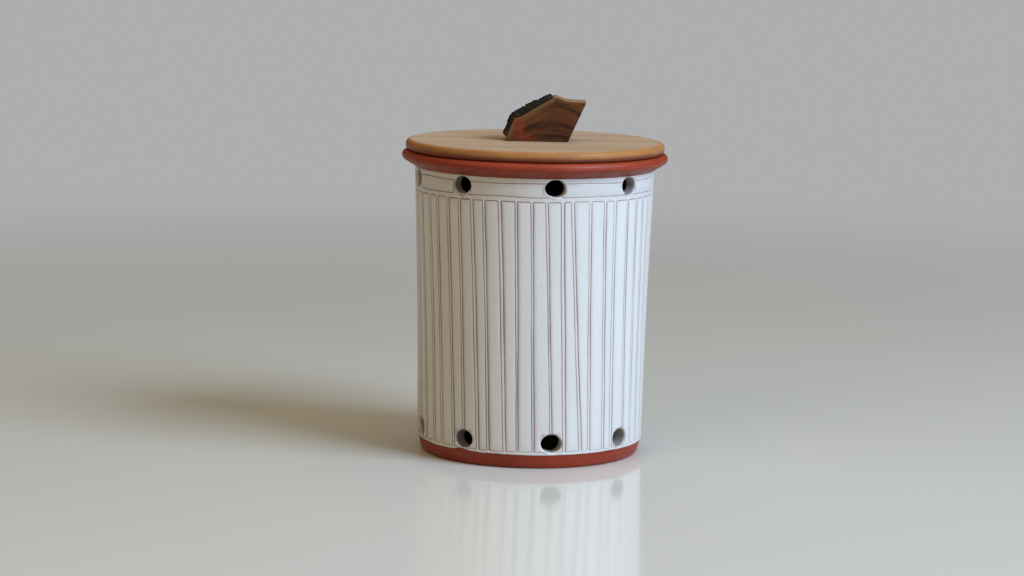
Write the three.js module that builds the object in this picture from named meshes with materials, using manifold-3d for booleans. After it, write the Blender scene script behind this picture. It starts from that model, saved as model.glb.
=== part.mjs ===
// Ventilated storage jar: a thrown terracotta pot with a white glazed coat and two rows of vents,
// closed by a lift-off wooden lid whose knob is an offcut of a branch.
// Millimetres, +Z up, origin at the centre of the foot. The jar's front faces -Y.
import * as THREE from 'three';
import { mergeVertices } from 'three/addons/utils/BufferGeometryUtils.js';
import Module from 'manifold-3d';

const wasm = await Module();
wasm.setup();

// ---- Driving dimensions -------------------------------------------------------------------

// Jar: heights from the table, radii from the jar's axis.
const jarHeight = 170;        // table to the flat top of the rim, where the lid rests
const neckRadius = 67.6;      // glazed surface just under the rim
const bodyTaper = 3.7;        // how much smaller the glazed surface is at its lower edge
const bodyWaist = 0.6;        // how far the wall draws in at mid height
const footHeight = 7.9;       // bare clay below the coat
const footBevel = 2.5;        // how far the bare foot slopes in to the table
const footRingWidth = 10;     // flat ring that the jar stands on
const footRecess = 1.6;       // hollow inside that ring
const floorThickness = 6.2;
const floorCornerRadius = 6;
const wallAtMouth = 6.1;      // glazed surface to the inside
const wallAtFloor = 8.8;

// Rim: a rolled bead that overhangs the neck.
const rimOverhang = 7.4;
const rimDepth = 8.7;
const rimNoseRadius = 2.7;
const mouthEdgeRadius = 1;

// Coat of slip and glaze, in a shallow recess of the clay, and carried through the vents.
const coatThickness = 0.5;
const fitGap = 0.3;           // between two pieces that are shaped to each other

// Vents: oval bores set out by eye round the jar, degrees from the front, positive to +X.
const ventAzimuths = [-74, -36, 10, 51, 89, 128, 168, 207, 247];
const ventLip = 0.3;          // bevel where a vent meets the outside
const topVents = { width: 11, height: 9.6, belowCoatTop: 5.4, turn: 0 };
const footVents = { width: 11.8, height: 11, aboveCoatFoot: 6.5, turn: 1.2 };

// Lid: a board that lies on the rim, with a locating disc glued below it.
const lidInset = 2;           // lid's edge to the rim's edge
const lidThickness = 6.3;
const lidEdgeRadius = 1.4;
const spigotDepth = 5;
const spigotClearance = 1.5;  // disc's edge to the inside of the mouth
const spigotChamfer = 1;

// Knob: a slab sawn from a branch, its left edge the live edge with the bark on.
const knobBaseLength = 34.7;
const knobPeakHeight = 25.2;
const knobThickness = 20;
const knobOffset = 1;         // centre of the base from the jar's axis, along X
// Outline points are shares of the base length (from the base's left end) and of the peak height.
const liveEdge = [[-0.01, 0.05], [0.05, 0.27], [0.12, 0.51], [0.24, 0.565], [0.47, 0.76], [0.74, 0.98]];
const sawnEdge = [[0.79, 1], [0.98, 0.91], [1.285, 0.89], [1, 0]];
const barkThickness = [2.4, 2, 2.3, 2.9, 2.6, 1.6];   // at the live edge's points

// Countersunk screws, driven from below through the disc and the board into the knob.
const screwSpacing = 20;
const screwRadius = 1.75;
const screwHeadRadius = 3.5;
const screwHeadBand = 0.4;
const screwPointLength = 3;
const screwBite = 10.7;       // depth that it reaches into the knob
const screwSink = 0.2;        // head below the disc's face
const crossRecess = { length: 3.6, width: 1, depth: 1.6 };

// Facets in a full turn: multiples of four keep the outline centred.
const jarFacets = 52;
const ventFacets = 12;
const screwFacets = 16;
const wallRings = 4;

// ---- Sizes that follow --------------------------------------------------------------------

const coatTop = jarHeight - rimDepth;
const coatFootRadius = neckRadius - bodyTaper;
const footRadius = coatFootRadius - footBevel;
const rimRadius = neckRadius + rimOverhang;
const mouthRadius = neckRadius - wallAtMouth;
const floorRadius = coatFootRadius - wallAtFloor;
const floorZ = footRecess + floorThickness;
const lidRadius = rimRadius - lidInset;
const spigotRadius = mouthRadius - spigotClearance;
const screwLength = spigotDepth - screwSink + lidThickness + screwBite;
const ventRows = [
  { ...topVents, z: coatTop - topVents.belowCoatTop },
  { ...footVents, z: footHeight + footVents.aboveCoatFoot },
];

// Radius of the glazed surface at a height.
function coatRadius(z) {
  const share = (z - footHeight) / (coatTop - footHeight);
  return coatFootRadius + bodyTaper * share - bodyWaist * Math.sin(Math.PI * share);
}

// ---- Helpers ------------------------------------------------------------------------------

// Points along an arc in the profile plane, angles in degrees from the outward direction.
function arc(radius, centreR, centreZ, from, to, steps) {
  return Array.from({ length: steps + 1 }, (_, i) => {
    const angle = THREE.MathUtils.degToRad(from + (to - from) * i / steps);
    return [centreR + radius * Math.cos(angle), centreZ + radius * Math.sin(angle)];
  });
}

// Evenly spaced heights with the profile radius at each.
function wallPoints(radiusAt, fromZ, toZ, steps) {
  return Array.from({ length: steps + 1 }, (_, i) => {
    const z = fromZ + (toZ - fromZ) * i / steps;
    return [radiusAt(z), z];
  });
}

// Keeps positions only, merges shared corners and drops the triangles that this collapses.
function merged(geometry) {
  geometry.deleteAttribute('normal');
  geometry.deleteAttribute('uv');
  const whole = mergeVertices(geometry, 1e-5);
  const corners = whole.index.array;
  const kept = [];
  for (let i = 0; i < corners.length; i += 3) {
    const [a, b, c] = corners.subarray(i, i + 3);
    if (a !== b && b !== c && c !== a) kept.push(a, b, c);
  }
  whole.setIndex(kept);
  return whole;
}

function toSolid(geometry) {
  const whole = merged(geometry);
  return new wasm.Manifold(new wasm.Mesh({
    numProp: 3,
    vertProperties: new Float32Array(whole.attributes.position.array),
    triVerts: new Uint32Array(whole.index.array),
  }));
}

function toGeometry(solid) {
  const mesh = solid.getMesh();
  const geometry = new THREE.BufferGeometry();
  geometry.setAttribute('position', new THREE.BufferAttribute(mesh.vertProperties, 3));
  geometry.setIndex(new THREE.BufferAttribute(mesh.triVerts, 1));
  return geometry;
}

// Turns a profile of [radius, height] points, anticlockwise with the axis on its left, about Z.
function turned(profile, facets) {
  const points = profile.map(([r, z]) => new THREE.Vector2(r, z));
  return new THREE.LatheGeometry(points, facets).rotateX(Math.PI / 2);
}

// Extrudes an outline of [x, z] points evenly to both sides of the XZ plane.
function slab(outline, thickness) {
  const shape = new THREE.Shape(outline.map(([x, z]) => new THREE.Vector2(x, z)));
  const geometry = new THREE.ExtrudeGeometry(shape, { depth: thickness, bevelEnabled: false });
  return geometry.translate(0, 0, -thickness / 2).rotateX(Math.PI / 2);
}

function cutAll(solid, cutters) {
  return cutters.reduce((rest, cutter) => rest.subtract(cutter), solid);
}

function piece(name, geometry, color, roughness) {
  geometry.computeVertexNormals();
  const material = new THREE.MeshStandardMaterial({ color, roughness, metalness: 0 });
  const mesh = new THREE.Mesh(geometry, material);
  mesh.name = name;
  return mesh;
}

// ---- Vents --------------------------------------------------------------------------------

// A radial plug for each vent: a bore widened all round by grow, and flared at the outside by lip.
// It runs from well inside the wall to reach past the glazed surface.
function ventPlugs(grow, lip, reach) {
  return ventRows.flatMap((row) => {
    const surface = coatRadius(row.z);
    const radius = row.height / 2 + grow;
    const profile = [
      [0, floorRadius / 2], [radius, floorRadius / 2], [radius, surface - lip],
      [radius + lip, surface], [radius + lip, surface + reach], [0, surface + reach],
    ];
    const widen = (row.width / 2 + grow) / radius;
    return ventAzimuths.map((azimuth) => {
      const points = profile.map(([r, y]) => new THREE.Vector2(r, y));
      const plug = new THREE.LatheGeometry(points, ventFacets, Math.PI / ventFacets);
      plug.scale(widen, 1, 1);
      plug.rotateZ(THREE.MathUtils.degToRad(azimuth + row.turn) + Math.PI);
      return toSolid(plug.translate(0, 0, row.z));
    });
  });
}

// ---- Jar ----------------------------------------------------------------------------------

// Inside of the jar, from the rim's inner edge down to the axis at the floor.
function cavityProfile() {
  return [
    ...arc(mouthEdgeRadius, mouthRadius + mouthEdgeRadius, jarHeight - mouthEdgeRadius, 90, 180, 3),
    ...arc(floorCornerRadius, floorRadius - floorCornerRadius, floorZ + floorCornerRadius, 0, -90, 3),
    [0, floorZ],
  ];
}

function jarBody() {
  const clayRadius = (z) => coatRadius(z) - coatThickness - fitGap;
  const ringInner = footRadius - footRingWidth;
  const footEdge = 0.7;
  const recessBottom = footHeight - fitGap;
  const recessTop = coatTop + fitGap;
  const profile = [
    [0, footRecess], [ringInner, footRecess], [ringInner + footRecess, 0],
    ...arc(footEdge, footRadius - footEdge, footEdge, -90, -18, 2),
    [coatFootRadius - fitGap, recessBottom],
    ...wallPoints(clayRadius, recessBottom, recessTop, wallRings),
    [neckRadius, recessTop],
    ...arc(rimNoseRadius, rimRadius - rimNoseRadius, jarHeight - rimNoseRadius, -54, 90, 8),
    ...cavityProfile(),
  ];
  const clay = toSolid(turned(profile, jarFacets));
  const bored = cutAll(clay, ventPlugs(coatThickness + fitGap, 0, 0));
  return piece('jar_body', toGeometry(bored), 0xa0503f, 0.5);
}

// The coat is the outer skin of the wall and a thin lining in each vent.
function slipCoat() {
  const whole = toSolid(turned([
    [0, footHeight], ...wallPoints(coatRadius, footHeight, coatTop, wallRings), [0, coatTop],
  ], jarFacets));
  const inside = toSolid(turned([
    [0, floorZ], ...cavityProfile().reverse().slice(1), [0, jarHeight],
  ], jarFacets));
  const innerRadius = (z) => coatRadius(z) - coatThickness;
  const core = toSolid(turned([
    [0, 0], ...wallPoints(innerRadius, footHeight, coatTop, wallRings), [0, jarHeight],
  ], jarFacets));
  const clay = cutAll(core, ventPlugs(coatThickness, 0, 1));
  const coat = cutAll(whole.subtract(inside).subtract(clay), ventPlugs(0, ventLip, 1));
  return piece('slip_coat', toGeometry(coat), 0xe4e2dc, 0.3);
}

// ---- Lid, in its own frame: z = 0 is the board's underside --------------------------------

// A screw standing head down on z = 0, its surface moved out by grow, which shifts its cones along.
function screwSolid(grow, below) {
  const coneShift = grow * (Math.SQRT2 - 1);
  const coneEnd = screwHeadBand + screwHeadRadius - screwRadius + coneShift;
  return toSolid(turned([
    [0, -below], [screwHeadRadius + grow, -below], [screwHeadRadius + grow, screwHeadBand + coneShift],
    [screwRadius + grow, coneEnd], [screwRadius + grow, screwLength - screwPointLength],
    [0, screwLength + 2 * grow],
  ], screwFacets));
}

const screwPlaces = [-1, 1].map((side) => [knobOffset + side * screwSpacing / 2, 0, screwSink - spigotDepth]);
const screwHoles = screwPlaces.map((place) => screwSolid(fitGap, screwSink + 1).translate(place));

function lidBoard() {
  const edge = lidRadius - lidEdgeRadius;
  const board = toSolid(turned([
    [0, 0],
    ...arc(lidEdgeRadius, edge, lidEdgeRadius, -90, 0, 3),
    ...arc(lidEdgeRadius, edge, lidThickness - lidEdgeRadius, 0, 90, 3),
    [0, lidThickness],
  ], jarFacets));
  return piece('lid_board', toGeometry(cutAll(board, screwHoles)), 0xb79a7b, 0.55);
}

function lidSpigot() {
  const disc = toSolid(turned([
    [0, -spigotDepth], [spigotRadius - spigotChamfer, -spigotDepth],
    [spigotRadius, spigotChamfer - spigotDepth], [spigotRadius, 0], [0, 0],
  ], jarFacets));
  return piece('lid_spigot', toGeometry(cutAll(disc, screwHoles)), 0xc2a27c, 0.6);
}

// Outline points in millimetres, x from the jar's axis and z from the board's top.
function knobPoints(shares) {
  const left = knobOffset - knobBaseLength / 2;
  return shares.map(([x, z]) => [left + x * knobBaseLength, lidThickness + z * knobPeakHeight]);
}

function knobWood() {
  const outline = knobPoints([[0, 0], ...liveEdge, ...sawnEdge]).reverse();
  const wood = toSolid(slab(outline, knobThickness));
  return piece('knob_wood', toGeometry(cutAll(wood, screwHoles)), 0x4a2418, 0.4);
}

// The bark lies on the live edge: each of its outer points stands off along the edge's normal.
function knobBark() {
  const inner = knobPoints(liveEdge);
  const outer = inner.map(([x, z], i) => {
    const [backX, backZ] = inner[Math.max(i - 1, 0)];
    const [nextX, nextZ] = inner[Math.min(i + 1, inner.length - 1)];
    const along = Math.hypot(nextX - backX, nextZ - backZ);
    const depth = barkThickness[i];
    return [x - depth * (nextZ - backZ) / along, z + depth * (nextX - backX) / along];
  });
  const bark = toSolid(slab([...inner, ...outer.reverse()], knobThickness));
  return piece('knob_bark', toGeometry(bark), 0x1d1712, 0.9);
}

function knobScrew(name, place) {
  const { length, width, depth } = crossRecess;
  const slots = [[length, width], [width, length]].map(([x, y]) => {
    const box = new THREE.BoxGeometry(x, y, depth * 2);
    return toSolid(box);
  });
  const screw = piece(name, toGeometry(cutAll(screwSolid(0, 0), slots)), 0x9a9a9c, 0.35);
  screw.material.metalness = 1;
  screw.position.set(...place);
  return screw;
}

const lid = new THREE.Group();
lid.add(lidBoard(), lidSpigot(), knobWood(), knobBark());
lid.add(knobScrew('knob_screw_left', screwPlaces[0]), knobScrew('knob_screw_right', screwPlaces[1]));
lid.position.z = jarHeight;

const group = new THREE.Group();
group.add(jarBody(), slipCoat(), lid);

export default group;
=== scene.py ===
"""Ventilated storage jar: a thrown terracotta pot with a white glazed coat and incised lines,
closed by a lift-off wooden lid whose knob is an offcut of a branch.

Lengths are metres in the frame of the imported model: +Z up, the jar's front faces -Y, and the origin
is the centre of the foot. An azimuth is an angle round the jar, 0 at the front and positive to +X.
"""

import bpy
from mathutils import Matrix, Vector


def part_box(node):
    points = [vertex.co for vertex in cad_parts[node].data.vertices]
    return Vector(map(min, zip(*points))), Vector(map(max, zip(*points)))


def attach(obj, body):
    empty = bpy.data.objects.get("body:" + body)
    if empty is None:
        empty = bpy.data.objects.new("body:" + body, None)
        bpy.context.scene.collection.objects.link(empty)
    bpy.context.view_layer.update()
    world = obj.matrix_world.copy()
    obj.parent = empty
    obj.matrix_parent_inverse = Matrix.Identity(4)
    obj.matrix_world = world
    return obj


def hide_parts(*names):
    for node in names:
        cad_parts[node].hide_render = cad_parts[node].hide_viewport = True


bl_info = {
    "name": "Ventilated storage jar",
    "version": (1, 0, 0),
    "blender": (4, 5, 0),
    "location": "View3D > Sidebar > Jar",
    "description": "Makes the pieces of a glazed terracotta jar with a wooden lid",
    "category": "Add Mesh",
}

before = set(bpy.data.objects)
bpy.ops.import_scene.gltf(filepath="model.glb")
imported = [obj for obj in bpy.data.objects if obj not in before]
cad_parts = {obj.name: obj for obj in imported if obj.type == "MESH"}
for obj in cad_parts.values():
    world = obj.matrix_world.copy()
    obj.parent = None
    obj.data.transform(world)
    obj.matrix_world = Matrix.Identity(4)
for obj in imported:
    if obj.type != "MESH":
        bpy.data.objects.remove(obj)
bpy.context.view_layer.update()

import math

import bpy
import numpy as np
from bpy.props import FloatProperty, FloatVectorProperty, IntProperty, PointerProperty
from mathutils import Euler, Matrix, Vector

MM = 0.001

# Columns round each turned surface.
COLUMNS = {"pot": 288, "board": 320, "disc": 240, "screw": 36, "hole": 40, "floor": 96}

# ---- Places that come from the frame --------------------------------------------------------

JAR_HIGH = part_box("jar_body")[1]
COAT_LOW, COAT_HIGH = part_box("slip_coat")
BOARD_LOW, BOARD_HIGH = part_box("lid_board")
DISC_LOW, DISC_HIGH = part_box("lid_spigot")
WOOD_LOW, WOOD_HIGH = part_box("knob_wood")
BARK_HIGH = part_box("knob_bark")[1]
SCREW_NODES = ("knob_screw_left", "knob_screw_right")

RIM_RADIUS = JAR_HIGH.x
RIM_TOP = JAR_HIGH.z
NECK_RADIUS = COAT_HIGH.x
COAT_BOTTOM = COAT_LOW.z
COAT_TOP = COAT_HIGH.z


# ---- Sizes and colours that a user would change ---------------------------------------------

def length(name, default, description):
    """A length property in metres, its default given in millimetres."""
    return FloatProperty(name=name, description=description, default=default * MM,
                         subtype="DISTANCE", unit="LENGTH", precision=5)


def colour(name, default, description):
    """A linear colour property."""
    return FloatVectorProperty(name=name, description=description, default=default,
                               subtype="COLOR", size=3, min=0, max=1)


class ClaySettings(bpy.types.PropertyGroup):
    """The thrown pot."""
    taper: length("Taper", 3.7, "How much smaller the glazed surface is at its lower edge")
    waist: length("Waist", 0.6, "How far the wall draws in at mid height")
    foot_bevel: length("Foot bevel", 2.5, "How far the bare foot slopes in to the table")
    foot_edge: length("Foot edge", 2, "Rounding of the foot's lower edge")
    foot_ring: length("Foot ring", 10, "Width of the ring that the jar stands on")
    foot_recess: length("Foot recess", 1.6, "Depth of the hollow inside the foot ring")
    floor_thickness: length("Floor", 6.2, "Thickness of the floor")
    floor_corner: length("Floor corner", 6, "Radius between floor and wall")
    wall_at_mouth: length("Wall at mouth", 6.1, "Glazed surface to the inside, at the mouth")
    wall_at_floor: length("Wall at floor", 8.8, "Glazed surface to the inside, at the floor")
    nose_radius: length("Rim nose", 2.7, "Radius of the rim's outer bead")
    mouth_edge: length("Mouth edge", 1, "Radius of the rim's inner edge")
    throwing_ridge: length("Throwing ridge", 0.05, "Height of the finger ridges left by the wheel")
    colour: colour("Clay", (0.34, 0.042, 0.015), "Fired red clay")
    deep_colour: colour("Dark clay", (0.265, 0.031, 0.011), "Where the clay fired darker")
    inside_colour: colour("Inside", (0.10, 0.072, 0.058), "Dull wash on the inside")


class CoatSettings(bpy.types.PropertyGroup):
    """The white slip and glaze, its incised lines and the vents."""
    thickness: length("Thickness", 0.45, "Thickness of the coat")
    vent_lip: length("Vent lip", 0.7, "How far the glaze rounds over into a vent")
    panels: IntProperty(name="Panels", description="Tall panels round the jar", default=49, min=3)
    ridge: length("Ridge", 1.75, "White ridge between the lines of two panels")
    lean: FloatProperty(name="Lean", description="Lean of the lines, as a share of half a panel",
                        default=0.27)
    slip_azimuth: FloatProperty(name="Slip", description="Azimuth of the ridge that leans most",
                                default=math.radians(22), subtype="ANGLE", unit="ROTATION")
    line_width: length("Line width", 0.78, "Width of an incised line")
    line_depth: length("Line depth", 0.24, "Depth of an incised line")
    band_top: length("Band top", 2.9, "Coat's top edge to the upper line of the band")
    band_bottom: length("Band bottom", 10.3, "Coat's top edge to the lower line of the band")
    panel_top: length("Panel top", 13.0, "Coat's top edge to the line that caps the panels")
    panel_bottom: length("Panel bottom", 1.7, "Coat's lower edge to the foot of the panels")
    colour: colour("Glaze", (0.80, 0.77, 0.735), "White glaze")
    line_colour: colour("Line", (0.28, 0.195, 0.18), "Glaze pooled in an incised line")
    blush_colour: colour("Blush", (0.68, 0.56, 0.53), "Glaze tinted beside a line")
    # The vent colour is painted shade, darker deeper inside a vent.
    vent_shade_colour: colour("Vent", (0.47, 0.41, 0.39), "Thin glaze inside a vent")


class LidSettings(bpy.types.PropertyGroup):
    """The lid board and the disc below it."""
    edge_radius: length("Edge radius", 3.0, "Rounding of the board's edge")
    disc_chamfer: length("Disc chamfer", 1, "Chamfer of the locating disc's lower edge")
    screw_gap: length("Screw gap", 0.3, "Clearance of the screw holes")
    colour: colour("Board", (0.55, 0.382, 0.26), "Pale planed wood")
    streak_colour: colour("Streak", (0.465, 0.307, 0.19), "Late wood lines of the board")
    edge_colour: colour("Board edge", (0.41, 0.152, 0.024), "Sanded edge, where oil has sunk in")
    # The lower edge's colour is painted shade of the gap between the lid and the rim.
    gap_shade_colour: colour("Lower edge", (0.18, 0.022, 0.003), "Lower edge, darker with wear")


class KnobSettings(bpy.types.PropertyGroup):
    """The branch offcut and its bark."""
    edge_radius: length("Edge radius", 0.6, "Rounding of the sawn edges")
    corner_radius: length("Corner radius", 0.5, "Rounding of the outline's corners")
    crown: length("Figure crown", 9, "Where along the base the arched figure is highest")
    arch: FloatProperty(name="Figure arch", description="Curvature of the figure, per metre",
                        default=15)
    colour: colour("Heartwood", (0.10, 0.028, 0.008), "Red-brown heartwood")
    dark_colour: colour("Dark figure", (0.024, 0.010, 0.005), "Dark streaks in the heartwood")
    red_colour: colour("Red heart", (0.21, 0.028, 0.009), "Orange-red streaks near the live edge")
    sapwood_colour: colour("Sapwood", (0.17, 0.09, 0.036), "Paler wood under the bark")
    bark_colour: colour("Bark", (0.016, 0.012, 0.009), "Rough dark bark")


class StudioSettings(bpy.types.PropertyGroup):
    """Floor, lamps and camera."""
    floor_colour: colour("Floor", (0.75, 0.715, 0.655), "Pale tabletop")
    backdrop: colour("Backdrop", (0.42, 0.424, 0.43), "Pale grey of the far floor")
    lens: FloatProperty(name="Lens", description="Focal length in millimetres", default=102.94)
    distance: FloatProperty(name="Distance", description="Camera to the jar's axis, level",
                            default=1.646, unit="LENGTH")
    height: FloatProperty(name="Height", description="Camera above the floor",
                          default=0.3251, unit="LENGTH")
    pitch: FloatProperty(name="Pitch", description="Camera tilt below level",
                         default=math.radians(8.067), unit="ROTATION")
    yaw: FloatProperty(name="Yaw", description="Camera turn to the left",
                       default=math.radians(0.398), unit="ROTATION")
    roll: FloatProperty(name="Roll", description="Camera roll, anticlockwise",
                        default=math.radians(1.155), unit="ROTATION")


# Vents: azimuths listed one by one, and the ovals of the two rows. The clay is cut away wider than
# the glazed vent, and a lining of glaze nearly fills that.
VENT_AZIMUTHS = np.radians([-74, -36, 10, 51, 89, 128, 168, 207, 247])
VENT_ROWS = (
    {"z": COAT_TOP - 5.4 * MM, "half_width": 5.5 * MM, "half_height": 4.8 * MM, "turn": 0.0},
    {"z": COAT_BOTTOM + 6.5 * MM, "half_width": 5.6 * MM, "half_height": 5.1 * MM,
     "turn": math.radians(1.2)},
)
VENT_CUT = 0.4 * MM
VENT_LINING = 0.36 * MM

# Margins left and right of each vent, from its middle to the end of the drawn frame beside it.
# A frame's end shows on the glaze where its margin is wider than the vent.
FRAME_MARGINS = np.radians([(5.3, 5.3), (5.0, 3.2), (3.2, 3.2), (3.2, 3.2), (11, 5.2), (5.5, 7),
                            (3.2, 6), (7.5, 5), (5, 3.2)])
SHOWN_MARGIN = math.radians(4.8)

# How far the clay reaches into the coat, so that no gap shows at the coat's edges.
COAT_OVERLAP = 0.03 * MM


def coat_radius(z):
    """Radius of the glazed surface at a height: a straight taper less a half sine wave, the waist."""
    clay = bpy.context.scene.jar_clay
    share = (z - COAT_BOTTOM) / (COAT_TOP - COAT_BOTTOM)
    return NECK_RADIUS - clay.taper * (1 - share) - clay.waist * np.sin(np.pi * share)


# ---- Numpy surfaces -------------------------------------------------------------------------

def add_surface(name, grids, material, angle=40):
    """Makes one object from closed grid surfaces and smooths it, with sharp edges past the angle.

    Each grid is (points of shape rows x columns x 3, how its rows end). Columns always wrap. Rows
    end in "poles", a fan of triangles to the middle of the first and of the last row, or "wrap".
    Anticlockwise columns and rows that climb the outside give faces that point outwards.
    """
    vertices, quads, triangles, start = [], [], [], 0
    for points, ends in grids:
        rows, columns = points.shape[:2]
        index = start + np.arange(rows * columns).reshape(rows, columns)
        beside = np.roll(index, -1, axis=1)
        if ends == "wrap":
            above, above_beside = np.roll(index, -1, axis=0), np.roll(beside, -1, axis=0)
            quads.append(np.stack([index, beside, above_beside, above], -1).reshape(-1, 4))
            vertices.append(points.reshape(-1, 3))
        else:
            low, low_beside = index[:-1], beside[:-1]
            quads.append(np.stack([low, low_beside, beside[1:], index[1:]], -1).reshape(-1, 4))
            pole = np.full(columns, start + rows * columns)
            triangles.append(np.stack([pole, beside[0], index[0]], -1))
            triangles.append(np.stack([pole + 1, index[-1], beside[-1]], -1))
            vertices += [points.reshape(-1, 3), points[:1].mean(1), points[-1:].mean(1)]
        start = sum(len(v) for v in vertices)
    mesh = bpy.data.meshes.new(name)
    vertices = np.concatenate(vertices)
    quads = np.concatenate(quads)
    triangles = np.concatenate(triangles) if triangles else np.zeros((0, 3), int)
    mesh.vertices.add(len(vertices))
    mesh.vertices.foreach_set("co", vertices.astype(np.float32).ravel())
    loops = np.concatenate([quads.ravel(), triangles.ravel()]).astype(np.int32)
    mesh.loops.add(len(loops))
    mesh.loops.foreach_set("vertex_index", loops)
    sizes = np.concatenate([np.full(len(quads), 4), np.full(len(triangles), 3)])
    mesh.polygons.add(len(sizes))
    mesh.polygons.foreach_set("loop_start", (np.cumsum(sizes) - sizes).astype(np.int32))
    mesh.update(calc_edges=True)
    mesh.validate()
    piece = bpy.data.objects.new(name, mesh)
    bpy.context.scene.collection.objects.link(piece)
    if material:
        mesh.materials.append(material)
    smooth(mesh, angle)
    return piece


def smooth(mesh, angle):
    """Shades the mesh smooth, with sharp edges where two faces meet at more than the angle."""
    mesh.polygons.foreach_set("use_smooth", np.ones(len(mesh.polygons), bool))
    mesh.set_sharp_from_angle(angle=math.radians(angle))
    mesh.update()


def combine(piece, operation, grids, angle=40):
    """Joins or cuts the piece with closed grid surfaces, which then go."""
    tool = add_surface(piece.name + "_tool", grids, None)
    modifier = piece.modifiers.new("combine", "BOOLEAN")
    modifier.operation = operation
    modifier.solver = "MANIFOLD"
    modifier.object = tool
    evaluated = piece.evaluated_get(bpy.context.evaluated_depsgraph_get())
    mesh = bpy.data.meshes.new_from_object(evaluated)
    piece.modifiers.clear()
    if not mesh.polygons:
        raise RuntimeError(piece.name + " is empty after " + operation)
    old = piece.data
    piece.data = mesh
    bpy.data.meshes.remove(old)
    mesh.name = piece.name
    bpy.data.objects.remove(tool)
    smooth(mesh, angle)


def positions(mesh):
    """Vertex positions as an array."""
    flat = np.empty(len(mesh.vertices) * 3, np.float32)
    mesh.vertices.foreach_get("co", flat)
    return flat.reshape(-1, 3).astype(float)


def store(mesh, name, values):
    """Keeps one number per vertex for a material to read."""
    mesh.attributes.new(name, "FLOAT", "POINT").data.foreach_set("value", values.astype(np.float32))


def lumps(points, size, seed):
    """Value noise from -1 to 1: random values on a cubic lattice of the given size, blended smoothly."""
    table = np.random.default_rng(seed).uniform(-1, 1, (32, 32, 32))
    place = points / size
    cell = np.floor(place).astype(int)
    t = place - cell
    t = t * t * (3 - 2 * t)
    total = 0
    for corner in np.ndindex(2, 2, 2):
        weight = np.prod(np.where(np.array(corner), t, 1 - t), axis=-1)
        i, j, k = np.moveaxis((cell + corner) % 32, -1, 0)
        total = total + weight * table[i, j, k]
    return total


def arc(centre_r, centre_z, radius, start, end, steps):
    """Points of an arc in the profile plane, angles in degrees from the outward direction."""
    angle = np.radians(np.linspace(start, end, steps))
    return np.stack([centre_r + radius * np.cos(angle), centre_z + radius * np.sin(angle)], -1)


def line(start, end, steps):
    """Evenly spaced points of a straight line, its own ends included."""
    return np.linspace(start, end, steps)


def polar(azimuth, radius, z):
    """Points at an azimuth, a distance from the jar's axis and a height."""
    return np.stack([radius * np.sin(azimuth), -radius * np.cos(azimuth), z + 0 * azimuth], -1)


def from_axis(points):
    """Distance of each point from the jar's axis."""
    return np.hypot(points[..., 0], points[..., 1])


def azimuth_of(points):
    """Azimuth of each point."""
    return np.arctan2(points[..., 0], -points[..., 1])


def revolve(profile, columns):
    """Turns (radius, height) rows round the jar's axis."""
    azimuth = np.linspace(0, 2 * np.pi, columns, endpoint=False)
    return polar(azimuth, profile[:, :1], profile[:, 1:])


def run_lengths(points):
    """Distance along a path of straight runs to each of its points."""
    steps = np.linalg.norm(np.diff(points, axis=0), axis=1)
    return np.concatenate([[0], np.cumsum(steps)])


def along_path(points, at):
    """Two-dimensional points at the given distances along a path."""
    run = run_lengths(points)
    return np.stack([np.interp(at, run, points[:, k]) for k in (0, 1)], -1)


def outline_normals(points):
    """Unit normals to the right of a path of two-dimensional points."""
    along = np.gradient(points, axis=0)
    along /= np.linalg.norm(along, axis=1, keepdims=True) + 1e-12
    return np.stack([along[:, 1], -along[:, 0]], -1)


# ---- Node materials -------------------------------------------------------------------------

# Linear tints that the finishes mix into their main colours.
WHEEL_RED = (0.42, 0.075, 0.03)
GRIT_BROWN = (0.13, 0.032, 0.018)
CLOUD_GREY = (0.56, 0.54, 0.51)
THIN_GLAZE = (0.75, 0.71, 0.66)
IRON_SPECK = (0.40, 0.32, 0.27)
BARE_CLAY = (0.30, 0.10, 0.07)
GRAIN_BROWN = (0.37, 0.235, 0.13)
PORE_BROWN = (0.28, 0.165, 0.085)
DEEP_OIL = (0.31, 0.10, 0.014)
AMBER_FIGURE = (0.165, 0.053, 0.015)
FINE_DARK = (0.04, 0.016, 0.008)
SAWN_TAN = (0.34, 0.20, 0.105)
WORN_BARK = (0.075, 0.042, 0.022)
BARK_TIP = (0.075, 0.042, 0.018)
DULL_ZINC = (0.50, 0.50, 0.51)
BRIGHT_ZINC = (0.68, 0.68, 0.69)

# Painted shadow of the rim over the top band: the band's brightness as a share of the rest.
PAINTED_RIM_SHADOW = 0.88


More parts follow.
